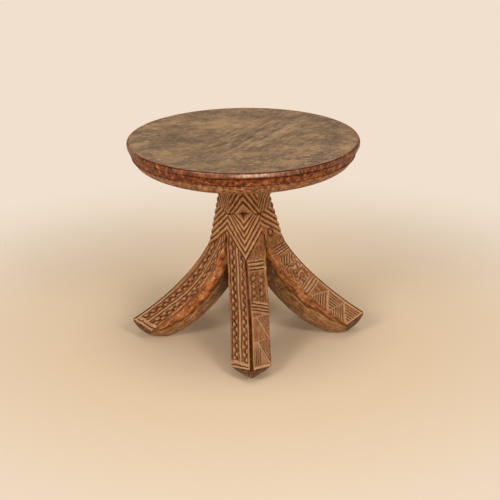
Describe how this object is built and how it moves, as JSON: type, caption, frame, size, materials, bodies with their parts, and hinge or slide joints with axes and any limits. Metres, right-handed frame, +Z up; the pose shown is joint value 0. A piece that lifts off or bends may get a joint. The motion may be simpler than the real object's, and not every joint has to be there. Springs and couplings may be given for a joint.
{
  "type": "carved wooden stool",
  "caption": "Round wooden seat on a square neck carved with chevrons and lozenges, which parts into splayed, chip-carved legs with pointed toes.",
  "frame": {"origin": "on the floor, midway between the outer faces of opposite feet", "axes": "+Z up to the seat, -Y towards the front leg, +X towards the right leg"},
  "size_m": [0.319, 0.319, 0.2838],
  "materials": {
    "seat_wood": "worn grey-tan top with an orange-brown, hand-polished rim",
    "neck_wood": "carved red-brown wood, dark in the cuts and pale on the worn ribs",
    "leg_wood": "carved red-brown wood with darker bellies and pale worn ridges"
  },
  "bodies": {
    "root": {"seat": "seat_wood", "neck": "neck_wood", "leg_front": "leg_wood", "leg_right": "leg_wood", "leg_rear": "leg_wood", "leg_left": "leg_wood"}
  },
  "joints": []
}
